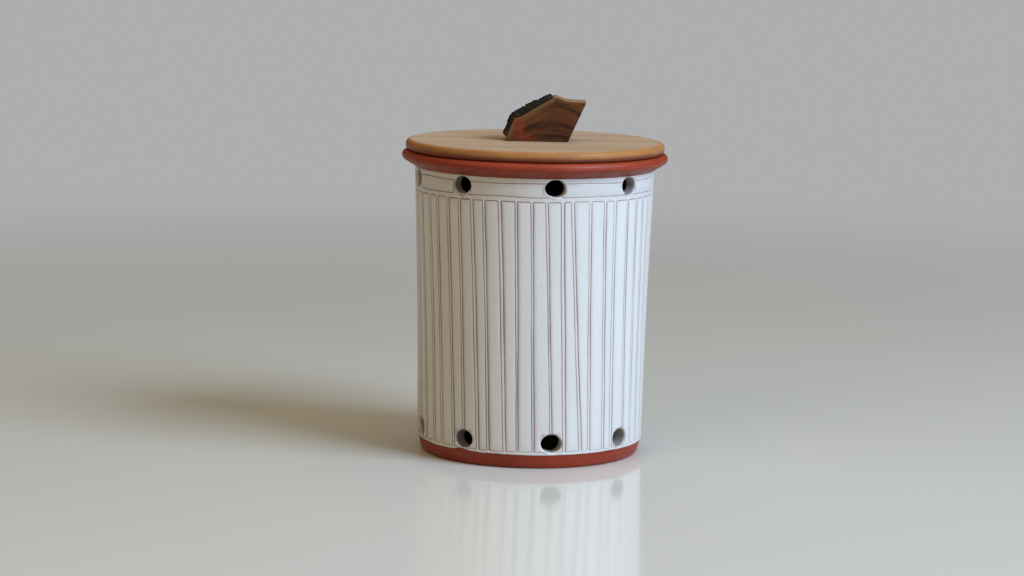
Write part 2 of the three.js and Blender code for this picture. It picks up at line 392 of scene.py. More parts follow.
class Shading:
    """Builds one node material, with short calls for the nodes that the finishes share."""

    def __init__(self, name, roughness, **sockets):
        self.material = bpy.data.materials.new(name)
        self.material.use_nodes = True
        self.tree = self.material.node_tree
        self.shader = self.tree.nodes["Principled BSDF"]
        self.shader.inputs["Roughness"].default_value = roughness
        for socket, value in sockets.items():
            self.shader.inputs[socket.replace("_", " ")].default_value = value
        self.place = self.node("ShaderNodeTexCoord").outputs["Object"]

    def node(self, kind, inputs=(), **settings):
        """Adds a node, sets its properties and sets or links its inputs."""
        made = self.tree.nodes.new(kind)
        for setting, value in settings.items():
            setattr(made, setting, value)
        for socket, value in dict(inputs).items():
            target = made.inputs[socket]
            if isinstance(value, bpy.types.NodeSocket):
                self.tree.links.new(value, target)
            else:
                target.default_value = value
        return made

    def stretched(self, scale, rotation=(0, 0, 0)):
        """Object coordinates, turned and stretched."""
        return self.node("ShaderNodeMapping", {
            "Vector": self.place, "Scale": scale, "Rotation": rotation,
        }).outputs["Vector"]

    def noise(self, scale, detail=3.0, roughness=0.5, vector=None, distortion=0.0):
        """Fractal noise from 0 to 1."""
        return self.node("ShaderNodeTexNoise", {
            "Vector": vector or self.place, "Scale": scale, "Detail": detail,
            "Roughness": roughness, "Distortion": distortion,
        }).outputs["Fac"]

    def attribute(self, name):
        """A number stored on the mesh."""
        return self.node("ShaderNodeAttribute", attribute_name=name).outputs["Fac"]

    def spread(self, value, low, high, to_low=0.0, to_high=1.0):
        """Maps a range to another, smoothly and within its ends."""
        return self.node("ShaderNodeMapRange", {
            "Value": value, "From Min": low, "From Max": high, "To Min": to_low, "To Max": to_high,
        }, interpolation_type="SMOOTHSTEP").outputs["Result"]

    def math(self, operation, first, second=0.0):
        """One arithmetic step."""
        return self.node("ShaderNodeMath", {0: first, 1: second}, operation=operation).outputs[0]

    def blend(self, factor, first, second):
        """Mixes two colours, at the Mix node's colour sockets: 6 and 7 in, and 2 out."""
        colours = {6: first, 7: second}
        opaque = {k: (*v, 1) if isinstance(v, (tuple, list)) and len(v) == 3 else v
                  for k, v in colours.items()}
        return self.node("ShaderNodeMix", {0: factor, **opaque}, data_type="RGBA").outputs[2]

    def finish(self, base, roughness=None, heights=()):
        """Links colour, roughness and a chain of (height, distance) bumps, and gives the material."""
        self.tree.links.new(base, self.shader.inputs["Base Color"])
        if roughness is not None:
            self.tree.links.new(roughness, self.shader.inputs["Roughness"])
        normal = None
        for height, distance in heights:
            inputs = {"Height": height, "Distance": distance, "Strength": 1.0}
            if normal:
                inputs["Normal"] = normal
            normal = self.node("ShaderNodeBump", inputs).outputs["Normal"]
        if normal:
            self.tree.links.new(normal, self.shader.inputs["Normal"])
        return self.material


def terracotta_finish(clay):
    """Bare red clay: cloudy firing tones, fine wheel lines, small pits and a satin polish."""
    s = Shading("terracotta", 0.45, Specular_IOR_Level=0.32)
    clouds = s.spread(s.noise(38, 4, 0.6), 0.32, 0.7)
    base = s.blend(clouds, tuple(clay.deep_colour), tuple(clay.colour))
    rings = s.noise(260, 2, 0.6, s.stretched((0.06, 0.06, 4.0)))
    base = s.blend(s.spread(rings, 0.45, 0.75, 0, 0.6), base, WHEEL_RED)
    grit = s.spread(s.noise(2100, 2, 0.7), 0.64, 0.74)
    base = s.blend(s.math("MULTIPLY", grit, 0.4), base, GRIT_BROWN)
    wash = s.math("MULTIPLY", s.attribute("inside"), s.spread(clouds, 0, 1, 0.8, 1))
    base = s.blend(wash, base, tuple(clay.inside_colour))
    roughness = s.spread(s.noise(90, 3, 0.6), 0.3, 0.7, 0.40, 0.52)
    return s.finish(base, roughness, [(rings, 0.00012), (s.noise(1400, 3, 0.6), 0.00005)])


def glaze_finish(coat):
    """White satin glaze, darker in the top band as a painted shadow of the rim: cloudy thickness,
    a few iron specks, tinted grooves with a soft halo, and clay that shows round the vents and along the
    lower edge."""
    s = Shading("white_glaze", 0.3, IOR=1.5)
    white = tuple(coat.colour)
    height = s.node("ShaderNodeSeparateXYZ", {0: s.place}).outputs["Z"]
    # Painted shadow of the rim: the glaze darkens from the panel caps up to the band's lower line, and
    # stays dark above it.
    rim_shadow_band = s.spread(height, COAT_TOP - coat.panel_top, COAT_TOP - coat.band_bottom)
    white = s.blend(rim_shadow_band, white, tuple(c * PAINTED_RIM_SHADOW for c in white))
    clouds = s.noise(150, 4, 0.55, s.stretched((1, 1, 0.08)))
    base = s.blend(s.spread(clouds, 0.35, 0.68, 0.1, 0), white, CLOUD_GREY)
    thin = s.spread(s.noise(30, 3, 0.5, s.stretched((1, 1, 0.4))), 0.42, 0.75, 0, 0.3)
    base = s.blend(thin, base, THIN_GLAZE)
    speck = s.spread(s.noise(620, 1, 0.3), 0.745, 0.775, 0, 0.25)
    base = s.blend(speck, base, IRON_SPECK)
    base = s.blend(s.math("MULTIPLY", s.attribute("blush"), 0.5), base, tuple(coat.blush_colour))
    # Painted shade inside the vents, darker with depth.
    base = s.blend(s.attribute("vent"), base, tuple(coat.vent_shade_colour))
    wear = s.spread(s.noise(210, 3, 0.6, s.stretched((1, 1, 0.25))), 0.2, 0.6, 0.6, 1)
    pooled = s.math("MULTIPLY", s.spread(s.attribute("incised"), 0.12, 0.7), wear)
    base = s.blend(pooled, base, tuple(coat.line_colour))
    base = s.blend(s.attribute("bare"), base, BARE_CLAY)
    roughness = s.spread(s.noise(140, 3, 0.6), 0.3, 0.7, 0.24, 0.36)
    brush = s.noise(420, 2, 0.5, s.stretched((1, 1, 0.08)))
    return s.finish(base, roughness, [(brush, 0.00004), (s.noise(330, 2, 0.5), 0.00005)])


def board_finish(lid, name, edge_share):
    """Planed pale wood: fine grain along X, soft broad bands, pores, and an edge that goes from
    warm orange above to dark brown below, which is painted shade of the gap over the rim."""
    s = Shading(name, 0.5, Specular_IOR_Level=0.2)
    grain = s.noise(520, 5, 0.62, s.stretched((0.035, 1, 0.6), (0, 0, math.radians(-1.5))))
    bands = s.noise(60, 3, 0.5, s.stretched((0.09, 1, 0.5), (0, 0, math.radians(1.2))), 0.4)
    base = s.blend(s.spread(bands, 0.3, 0.72), tuple(lid.streak_colour), tuple(lid.colour))
    base = s.blend(s.spread(grain, 0.5, 0.72, 0, 0.35), base, GRAIN_BROWN)
    pores = s.noise(1500, 2, 0.7, s.stretched((0.05, 1, 1)))
    base = s.blend(s.spread(pores, 0.62, 0.74, 0, 0.35), base, PORE_BROWN)
    patches = s.spread(s.noise(70, 4, 0.6, s.stretched((1, 1, 3))), 0.35, 0.75)
    oiled = s.blend(patches, tuple(lid.edge_colour), DEEP_OIL)
    # Painted shade of the gap over the rim on the edge's lower part, with a ragged border.
    ragged = s.math("MULTIPLY", s.noise(55, 3, 0.6, s.stretched((1, 1, 3))), 0.9)
    below = s.spread(s.math("ADD", s.attribute("under"), ragged), 0.55, 1.2)
    oiled = s.blend(below, oiled, tuple(lid.gap_shade_colour))
    base = s.blend(s.math("MULTIPLY", s.attribute("edge"), edge_share), base, oiled)
    roughness = s.spread(grain, 0.35, 0.75, 0.42, 0.58)
    return s.finish(base, roughness, [(grain, 0.00006), (pores, 0.00004)])


def heartwood_finish(knob):
    """Figured heartwood: warped bands that arch over the length, fine grain, a streaky red patch,
    tan sapwood under the bark and a paler sawn top."""
    s = Shading("dark_wood", 0.5, Specular_IOR_Level=0.22)
    along = s.node("ShaderNodeSeparateXYZ", {0: s.place}).outputs
    from_crown = s.math("ADD", along["X"], -knob.crown)
    arch = s.math("MULTIPLY", s.math("MULTIPLY", from_crown, from_crown), knob.arch)
    warp = s.math("MULTIPLY", s.noise(85, 3, 0.5, s.stretched((0.5, 0.5, 1))), 0.011)
    height = s.math("ADD", s.math("ADD", along["Z"], arch), warp)
    flow = s.node("ShaderNodeCombineXYZ", {
        "X": s.math("MULTIPLY", along["X"], 0.13), "Y": s.math("MULTIPLY", along["Y"], 0.4),
        "Z": height,
    }).outputs[0]
    bands = s.noise(230, 4, 0.6, flow)
    fine = s.noise(1000, 3, 0.6, flow)
    base = s.blend(s.spread(bands, 0.38, 0.6), tuple(knob.dark_colour), tuple(knob.colour))
    warm = s.spread(s.noise(120, 2, 0.5, flow), 0.48, 0.66, 0, 0.75)
    base = s.blend(warm, base, AMBER_FIGURE)
    base = s.blend(s.spread(fine, 0.5, 0.7, 0, 0.5), base, FINE_DARK)
    pale = s.math("MULTIPLY", s.attribute("sap"), s.spread(fine, 0.3, 0.7, 1, 0.55))
    base = s.blend(pale, base, tuple(knob.sapwood_colour))
    streaks = s.noise(520, 3, 0.6, s.stretched((1, 0.5, 0.22), (0, math.radians(-24), 0)))
    red = s.math("MULTIPLY", s.attribute("red"), s.spread(streaks, 0.3, 0.7, 0.2, 1))
    base = s.blend(red, base, tuple(knob.red_colour))
    sawn = s.math("MULTIPLY", s.attribute("sawn"), s.spread(fine, 0.3, 0.75, 1, 0.55))
    base = s.blend(sawn, base, SAWN_TAN)
    roughness = s.spread(bands, 0.3, 0.7, 0.42, 0.56)
    return s.finish(base, roughness, [(fine, 0.00006), (s.noise(1700, 2, 0.5), 0.00003)])


def bark_finish(knob):
    """Rough bark: near black, brown where lumps are worn and at the lower tip, with a scaly bump."""
    s = Shading("bark", 0.9, Specular_IOR_Level=0.12)
    scale = s.noise(520, 5, 0.65)
    base = s.blend(s.spread(scale, 0.45, 0.8), tuple(knob.bark_colour), WORN_BARK)
    tip = s.math("MULTIPLY", s.attribute("tip"), s.spread(scale, 0.25, 0.6, 0.3, 0.9))
    base = s.blend(tip, base, BARK_TIP)
    roughness = s.spread(scale, 0.3, 0.7, 0.8, 0.98)
    return s.finish(base, roughness, [(scale, 0.0005), (s.noise(1900, 3, 0.6), 0.0001)])


def zinc_finish():
    """Bright zinc on steel, brushed by handling."""
    s = Shading("zinc_steel", 0.3, Metallic=1.0)
    brushed = s.noise(1300, 3, 0.6, s.stretched((1, 1, 0.2)))
    base = s.blend(s.spread(brushed, 0.3, 0.7), DULL_ZINC, BRIGHT_ZINC)
    return s.finish(base, s.spread(brushed, 0.3, 0.7, 0.22, 0.4), [(brushed, 0.00002)])


# ---- Incised lines --------------------------------------------------------------------------

# Where the coat's grid has columns and rows beside the middle of a line, and the rows between.
GROOVE_COLUMNS = np.array([-0.55, -0.33, -0.16, 0, 0.16, 0.33, 0.55]) * MM
GROOVE_ROWS = np.array([-0.6, -0.38, -0.18, 0, 0.18, 0.38, 0.6]) * MM
ROW_SPACING = 3.6 * MM

# Extra lean of the ridge where the tool slipped, as a share of a panel.
SLIP_LEAN = 0.42
# How much wider than its line the blush is, and how far from a line it is worked out.
BLUSH_WIDTH = 1.6 * MM
STROKE_REACH = 3 * MM
# The azimuth where the hand pressed least, and by what share less.
LIGHT_AZIMUTH = math.radians(70)
LIGHT_SHARE = 0.35


def stroke(across, along, start, end, width):
    """Share of one drawn line: a bell across its width, faded at both ends of its length."""
    body = np.exp(-(across / (0.5 * width)) ** 2 * 1.6)
    ends = np.clip((along - start) / width + 0.5, 0, 1) * np.clip((end - along) / width + 0.5, 0, 1)
    return body * ends


def panel_lines(coat):
    """Two lines for each ridge between panels, as functions of height.

    Returns a function that gives their azimuths, of shape lines x heights: evenly spaced ridges,
    each set off, leaned and wavered by seeded random amounts, and a line at each side of each.
    All lean the same way, as a right hand draws them, and one more, where the tool slipped.
    """
    random = np.random.default_rng(7)
    count = coat.panels
    pitch = 2 * np.pi / count
    centre = (np.arange(count) + random.uniform(-0.13, 0.13, count)) * pitch
    lean = (coat.lean + random.normal(0, 0.06, count)) * pitch
    lean[round(coat.slip_azimuth / pitch)] += SLIP_LEAN * pitch
    half = coat.ridge / 2 * random.uniform(0.72, 1.18, count) / NECK_RADIUS
    phase = random.uniform(0, 2 * np.pi, (count, 2, 3))
    sway = random.uniform(0.4, 1.0, (count, 2, 3)) * np.array([0.16, 0.09, 0.045]) * MM / NECK_RADIUS
    turns = np.array([1.1, 2.6, 6.3])

    def azimuths(z):
        share = (np.asarray(z, float) - COAT_BOTTOM) / (COAT_TOP - COAT_BOTTOM)
        waves = np.sin(2 * np.pi * turns[:, None] * share + phase[..., None]) * sway[..., None]
        middle = centre[:, None] - lean[:, None] * (share - 0.55) * 2
        sides = np.array([-1, 1])[None, :, None] * half[:, None, None]
        return (middle[:, None] + sides + waves.sum(2)).reshape(2 * count, -1)

    return azimuths


def band_frames():
    """Start and end azimuth of each frame in the top band: the stretches between vents, less the
    margin that the hand left at each vent. Where a margin is small the frame runs into the vent."""
    start = VENT_AZIMUTHS + FRAME_MARGINS[:, 1]
    end = np.roll(VENT_AZIMUTHS - FRAME_MARGINS[:, 0], -1)
    end[-1] += 2 * np.pi
    return np.stack([start, end], -1)


def line_heights(coat, azimuth):
    """Heights of the band's two lines, the panel caps and the panel feet, wavering round the jar."""
    waver = 0.14 * MM * np.sin(5 * azimuth + 0.7) + 0.09 * MM * np.sin(13 * azimuth + 2)
    tilt = 0.10 * MM * np.sin(9 * azimuth + 4)
    return (COAT_TOP - coat.band_top + waver, COAT_TOP - coat.band_bottom - waver + tilt,
            COAT_TOP - coat.panel_top + tilt, COAT_BOTTOM + coat.panel_bottom + waver)


def wrapped(angle):
    """An angle brought to within half a turn of zero."""
    return (angle + np.pi) % (2 * np.pi) - np.pi


def incision(coat, azimuth, z):
    """Depth of the incised lines at each point, their share of a full line, and the blush beside.

    Each line is a stroke; where strokes meet the deeper one counts. Pressure and width vary with
    noise, the hand pressed less right of the front, and the line on the right of each ridge is
    broader. The blush is a wider stroke.
    """
    radius = coat_radius(z)
    place = np.stack([radius * np.sin(azimuth), radius * np.cos(azimuth), z], -1)
    press = 1 + 0.25 * lumps(place * (1, 1, 0.35), 5 * MM, 3)
    press *= 1 - LIGHT_SHARE * np.clip(np.cos(azimuth - LIGHT_AZIMUTH), 0, 1) ** 2
    width = coat.line_width * (1 + 0.2 * lumps(place * (1, 1, 0.3), 8 * MM, 4))
    band_top, band_bottom, cap, foot = line_heights(coat, azimuth)
    share, blush = np.zeros_like(z), np.zeros_like(z)
    reach = STROKE_REACH / NECK_RADIUS

    def draw(pick, across, along, start, end, scale, weight):
        """Lays one stroke over the picked points."""
        near = width[pick] * scale
        drawn = weight * stroke(across, along, start, end, near)
        share[pick] = np.maximum(share[pick], drawn)
        drawn = weight * stroke(across, along, start, end, near + BLUSH_WIDTH)
        blush[pick] = np.maximum(blush[pick], drawn)

    heights = np.linspace(COAT_BOTTOM, COAT_TOP, 60)
    lines = panel_lines(coat)(heights)
    for i, azimuths in enumerate(lines):
        off = wrapped(azimuth - np.interp(z, heights, azimuths))
        pick = np.abs(off) < reach
        scale, weight = ((0.9, 0.85), (1.15, 1.1))[i % 2]
        draw(pick, (off * radius)[pick], z[pick], foot[pick], cap[pick], scale, weight)
    for i in range(1, len(lines), 2):
        left = np.interp(z, heights, lines[i])
        right = np.interp(z, heights, lines[(i + 1) % len(lines)])
        half = wrapped(right - left) / 2
        off = wrapped(azimuth - left - half)
        pick = np.abs(off) < half + reach
        end = (half * radius)[pick]
        for height, weight in ((cap, 1.05), (foot, 0.6)):
            draw(pick, (z - height)[pick], (off * radius)[pick], -end, end, 1, weight)
    for start, end in band_frames():
        half = (end - start) / 2
        off = wrapped(azimuth - start - half)
        pick = np.abs(off) < half + reach
        end = half * radius[pick]
        for height in (band_top, band_bottom):
            draw(pick, (z - height)[pick], (off * radius)[pick], -end, end, 0.9, 0.95)
        for side in (-1, 1):
            across = (off - side * half) * radius
            draw(pick, across[pick], z[pick], band_bottom[pick], band_top[pick], 0.9, 0.85)
    return share * coat.line_depth * press, np.clip(share * press, 0, 1.2), blush


# ---- Vents ----------------------------------------------------------------------------------

def cavity_radius(z):
    """Radius of the inside at a height, between floor and mouth: a straight taper."""
    clay = bpy.context.scene.jar_clay
    share = np.clip((z - COAT_BOTTOM) / (COAT_TOP - COAT_BOTTOM), 0, 1)
    low = NECK_RADIUS - clay.taper - clay.wall_at_floor
    return low + (NECK_RADIUS - clay.wall_at_mouth - low) * share


def vent_plugs(grow, lip, outside, inside):
    """A closed plug through the wall for each vent.

    Round an oval of the vent's half width and height plus grow, made uneven by three sine waves,
    the plug runs along the vent from inside past the inner wall to outside past the glaze. Its
    ends follow the round walls, and it widens towards the glaze by lip times an exponential of
    the depth.
    """
    angle = np.linspace(0, 2 * np.pi, 56, endpoint=False)
    plugs = []
    for row in VENT_ROWS:
        for number, azimuth in enumerate(VENT_AZIMUTHS + row["turn"]):
            wobble = 1 + 0.025 * np.sin(2 * angle + number) + 0.018 * np.sin(3 * angle + 2 * number)
            wobble += 0.008 * np.sin(7 * angle + 3 * number)
            thickness = float(coat_radius(row["z"]) - cavity_radius(row["z"]))
            depth = np.concatenate([
                [thickness + inside], np.linspace(thickness, 2.5 * MM, 4),
                np.linspace(2.1 * MM, -outside, 11),
            ])[:, None]
            flare = np.minimum(lip * np.exp(-depth / (0.6 * lip)), 3 * lip) if lip else 0 * depth
            side = (row["half_width"] + grow + flare) * wobble * np.cos(angle)
            rise = (row["half_height"] + grow + 1.2 * flare) * wobble * np.sin(angle)
            z = row["z"] + rise
            forward = np.sqrt(coat_radius(z) ** 2 - side ** 2) - depth
            out = math.sin(azimuth), -math.cos(azimuth)
            beside = math.cos(azimuth), math.sin(azimuth)
            plugs.append((np.stack([forward * out[0] + side * beside[0],
                                    forward * out[1] + side * beside[1], z], -1), "poles"))
    return plugs


def vent_nearness(place):
    """Distance of each point from the nearest vent's axis, as a share of the vent's own oval."""
    azimuth = azimuth_of(place)
    nearest = np.full(len(place), np.inf)
    for row in VENT_ROWS:
        for centre in VENT_AZIMUTHS + row["turn"]:
            side = wrapped(azimuth - centre) * NECK_RADIUS / row["half_width"]
            rise = (place[:, 2] - row["z"]) / row["half_height"]
            nearest = np.minimum(nearest, np.hypot(side, rise))
    return nearest


# ---- Pieces of the jar ----------------------------------------------------------------------

def clay_profile(clay, skin):
    """Outline of the pot from the middle of its underside, up the outside and down the inside.

    Straight runs and arcs, then the fine ridges of the wheel, products and sums of sine waves cut
    in along the outline's normal, except at the seat and the foot. Inside, the finger marks are
    deeper. skin is what the coat takes from the wall.
    """
    foot = NECK_RADIUS - clay.taper - clay.foot_bevel
    ring = foot - clay.foot_ring
    recess, edge = clay.foot_recess, clay.foot_edge
    floor = recess + clay.floor_thickness
    corner = clay.floor_corner
    nose = clay.nose_radius
    mouth = NECK_RADIUS - clay.wall_at_mouth
    low = NECK_RADIUS - clay.taper - clay.wall_at_floor
    wall_z = np.linspace(COAT_BOTTOM + 0.4 * MM, COAT_TOP - 0.2 * MM, 24)
    runs = [
        line((1 * MM, recess), (ring - 1 * MM, recess), 14),
        line((ring, recess * 0.96), (ring + recess, 0.05 * MM), 5),
        line((ring + recess + 0.5 * MM, 0), (foot - edge + 0.1 * MM, 0), 6),
        arc(foot - edge + 0.4 * MM, edge, edge, -90, -20, 7),
        line((foot + 0.3 * (edge + 0.4 * MM), edge + 0.4 * MM),
             (coat_radius(COAT_BOTTOM) - skin, COAT_BOTTOM), 11),
        np.stack([coat_radius(wall_z) - skin, wall_z], -1),
        line((NECK_RADIUS - skin, COAT_TOP), (NECK_RADIUS + 0.2 * MM, COAT_TOP + 0.12 * MM), 3),
        line((NECK_RADIUS + 0.7 * MM, COAT_TOP + 0.42 * MM),
             (RIM_RADIUS - nose + nose * math.cos(math.radians(-56)),
              RIM_TOP - nose + nose * math.sin(math.radians(-56))), 14)[:-1],
        arc(RIM_RADIUS - nose, RIM_TOP - nose, nose, -54, 90, 26),
        line((RIM_RADIUS - nose - 0.6 * MM, RIM_TOP), (mouth + clay.mouth_edge + 0.4 * MM, RIM_TOP), 10),
        arc(mouth + clay.mouth_edge, RIM_TOP - clay.mouth_edge, clay.mouth_edge, 90, 180, 8),
        line((mouth - 0.05 * MM, RIM_TOP - 2 * MM), (low + 0.05 * MM, floor + corner + 1 * MM), 90),
        arc(low - corner, floor + corner, corner, 0, -90, 14),
        line((low - corner - 1 * MM, floor), (1 * MM, floor), 24),
    ]
    profile = np.concatenate(runs)
    run = run_lengths(profile)
    ridges = 0.5 * np.sin(run / (0.62 * MM)) * np.sin(run / (3.1 * MM))
    ridges += 0.5 * np.sin(run / (0.27 * MM) + 1)
    radius, z = profile.T
    inside = (radius < mouth + 0.1 * MM) & (z > floor - 0.1 * MM)
    fingers = np.where(inside, 5 * np.sin(run / (1.05 * MM)), 0)
    flat = (z < 0.8 * MM) | (z > RIM_TOP - 0.3 * MM) | (radius < 20 * MM) & (z < floor - MM)
    depth = clay.throwing_ridge * (1.2 + ridges + fingers) * 0.5
    sink = np.where(flat, 0, np.maximum(depth, 0))
    return profile - outline_normals(profile) * sink[:, None]


class JAR_OT_clay(bpy.types.Operator):
    """Make the thrown terracotta pot with its vents."""
    bl_idname = "jar.clay"
    bl_label = "Clay pot"

    def execute(self, context):
        clay, coat = context.scene.jar_clay, context.scene.jar_coat
        skin = coat.thickness - COAT_OVERLAP
        grid = revolve(clay_profile(clay, skin), COLUMNS["pot"])
        pot = add_surface("thrown_pot", [(grid, "poles")], terracotta_finish(clay))
        combine(pot, "DIFFERENCE", vent_plugs(VENT_CUT, 0, outside=2 * MM, inside=4 * MM))
        place = positions(pot.data)
        washed = (from_axis(place) < cavity_radius(place[:, 2]) + 0.6 * MM) & (place[:, 2] > 6 * MM)
        store(pot.data, "inside", washed & (place[:, 2] < RIM_TOP - 2.5 * MM))
        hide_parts("jar_body")
        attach(pot, "jar")
        return {"FINISHED"}


def coat_columns(coat, heights):
    """Azimuths of the coat's grid columns at each height, of shape heights x columns.

    Close columns follow each line, so that its groove has real sides, and a few more fill the
    panels and ridges between. In the top band the nearest line's columns move over to follow the
    ends of the band's frames.
    """
    lines = panel_lines(coat)(heights).T
    shown = np.stack([FRAME_MARGINS[:, 1], np.roll(FRAME_MARGINS[:, 0], -1)], -1) > SHOWN_MARGIN
    ends = np.sort(band_frames()[shown] % (2 * np.pi))
    shift = np.clip((heights - (COAT_TOP - coat.panel_top + 0.5 * MM)) / (1.8 * MM), 0, 1)
    start = lines[:, :1]
    lines = lines - start
    home = lines[-1] + start[-1]
    for end in ends:
        nearest = np.argmin(np.abs(wrapped(home - end)))
        lines[:, nearest] += wrapped(end - home[nearest]) * shift
    lines += start
    groove = GROOVE_COLUMNS / NECK_RADIUS
    after = np.roll(lines, -1, axis=1)
    after[:, -1] += 2 * np.pi
    columns = []
    for i in range(lines.shape[1]):
        own, following = lines[:, i:i + 1] + groove, after[:, i:i + 1] + groove[0]
        fill = 1 if i % 2 == 0 else 3
        share = np.arange(1, fill + 1) / (fill + 1)
        columns += [own, own[:, -1:] + (following - own[:, -1:]) * share]
    return np.concatenate(columns, axis=1)


def coat_heights(coat):
    """Heights of the coat's grid rows, and how far each row follows each mark.

    Rows lie close at each of the four horizontal lines and wider between. The marks are the lower
    edge, the lines and the upper edge. A row between two marks follows both, by its place.
    """
    lines = sorted(float(h) for h in line_heights(coat, 0.0))
    marks = [COAT_BOTTOM + 0.45 * MM, *lines, COAT_TOP - 0.4 * MM]
    rows = [line_height + GROOVE_ROWS for line_height in lines] + [[marks[0], marks[-1]]]
    for low, high in zip(marks[:-1], marks[1:]):
        low += GROOVE_ROWS[-1] * (low in lines)
        high += GROOVE_ROWS[0] * (high in lines)
        rows.append(np.linspace(low, high, max(2, round((high - low) / ROW_SPACING) + 1))[1:-1])
    heights = np.sort(np.concatenate(rows))
    follow = np.stack([np.interp(heights, marks, unit) for unit in np.eye(len(marks))], -1)
    return heights, marks, follow


def coat_grid(coat):
    """The closed section of the coat all round: rows up the outside, then down the inside.

    Rows at the marks follow the wavering lines and the ragged lower edge, which climbs below the
    second vent, and rows between them follow both marks. Each point of the outside is sunk by the
    incision, and two more rows at each edge round it over.
    """
    heights, marks, follow = coat_heights(coat)
    azimuth = coat_columns(coat, heights)
    low, high = azimuth[0], azimuth[-1]
    ring = np.stack([np.sin(low), np.cos(low), 0 * low], -1) * NECK_RADIUS
    edge = 0.25 * MM * lumps(ring, 9 * MM, 5) + 0.12 * MM * lumps(ring, 3 * MM, 6)
    edge += 1.3 * MM * np.exp(-(wrapped(low - VENT_AZIMUTHS[1]) / math.radians(3.4)) ** 2)
    drawn = [h + 0 * azimuth for h in line_heights(coat, azimuth)][::-1]
    places = [marks[0] + edge + 0.15 * MM + 0 * azimuth, *drawn, marks[-1] + 0 * azimuth]
    z = sum(share[:, None] * place for share, place in zip(follow.T, places))
    depth, _, _ = incision(coat, azimuth.ravel(), z.ravel())
    radius = coat_radius(z) - depth.reshape(z.shape)
    skin = coat.thickness
    rows = [(low, coat_radius(h) - drop * skin, h)
            for drop, h in ((0.45, COAT_BOTTOM + edge + 0.18 * MM),
                            (0.12, COAT_BOTTOM + edge + 0.36 * MM))]
    rows += zip(azimuth, radius, z)
    rows += [(high, coat_radius(COAT_TOP) - drop * skin, h)
             for drop, h in ((0.12, COAT_TOP - 0.12 * MM), (0.5, COAT_TOP))]
    rows += [(a, coat_radius(h) - skin, h + lift)
             for a, h, lift in ((high, COAT_TOP - 0.02 * MM, 0), (high, COAT_TOP - 30 * MM, 0),
                                (low, COAT_BOTTOM + 60 * MM, 0),
                                (low, COAT_BOTTOM, edge + 0.05 * MM))]
    return np.stack([polar(*row) for row in rows])


# The bare ring round a vent and its half width, as shares of the vent's oval.
BARE_RING = 1.15
BARE_WIDTH = 0.045


def mark_coat(coat, mesh):
    """Stores what the glaze reads: lines and blush on the outside, how deep a point lies in a vent
    for its painted shade, and bare clay in a broken ring round each vent and along the lower edge."""
    place = positions(mesh)
    sunk = coat_radius(place[:, 2]) - from_axis(place)
    outside = sunk < coat.thickness - COAT_OVERLAP
    _, share, blush = incision(coat, azimuth_of(place), place[:, 2])
    store(mesh, "incised", np.where(outside, share, 0))
    store(mesh, "blush", np.where(outside, blush, 0))
    # How deep a point lies in a vent, which sets the painted shade there.
    store(mesh, "vent", np.clip((sunk - 0.3 * MM) / (1.6 * MM), 0, 1))
    rim = np.exp(-((vent_nearness(place) - BARE_RING) / BARE_WIDTH) ** 2)
    rim *= np.clip(lumps(place, 3.5 * MM, 8) * 2 + 0.45, 0, 1)
    low = np.clip(1 - (place[:, 2] - COAT_BOTTOM) / (0.45 * MM), 0, 1) * outside
    store(mesh, "bare", np.clip(rim * outside * 0.8 + low * 0.6, 0, 1))


class JAR_OT_coat(bpy.types.Operator):
    """Make the glazed coat, with its incised lines and the glazed vents."""
    bl_idname = "jar.coat"
    bl_label = "Glazed coat"

    def execute(self, context):
        coat = context.scene.jar_coat
        piece = add_surface("glazed_coat", [(coat_grid(coat), "wrap")], glaze_finish(coat), 45)
        lining = vent_plugs(VENT_LINING, 0, outside=-0.1 * MM, inside=0.02 * MM)
        combine(piece, "UNION", lining)
        bore = vent_plugs(0, coat.vent_lip, outside=1 * MM, inside=2 * MM)
        combine(piece, "DIFFERENCE", bore, 45)
        mark_coat(coat, piece.data)
        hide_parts("slip_coat")
        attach(piece, "jar")
        return {"FINISHED"}


# ---- Pieces of the lid ----------------------------------------------------------------------

def screw_boxes():
    """Axis place, underside, top and head radius of each screw, from the frame."""
    boxes = [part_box(node) for node in SCREW_NODES]
    return [((low.x + high.x) / 2, low.z, high.z, (high.x - low.x) / 2) for low, high in boxes]


def screw_profile(bottom, top, head, grow):
    """Countersunk screw standing on its head, moved out by grow: band, cone, shank and point."""
    shank, point = head * 0.5 + grow, 3 * MM
    cone = 0.4 * MM + head * 0.5
    return np.array([(head * 0.3, bottom), (head + grow, bottom), (head + grow, bottom + 0.45 * MM),
                     (shank, bottom + cone + 0.15 * MM), (shank, top - point),
                     (shank * 0.1, top + 2 * grow)])


def screw_holes(gap):
    """Closed cutters for the holes of both screws."""
    holes = []
    for x, bottom, top, head in screw_boxes():
        profile = screw_profile(bottom, top, head, gap)
        profile[:2, 1] -= 1 * MM
        holes.append((revolve(profile, COLUMNS["hole"]) + (x, 0, 0), "poles"))
    return holes


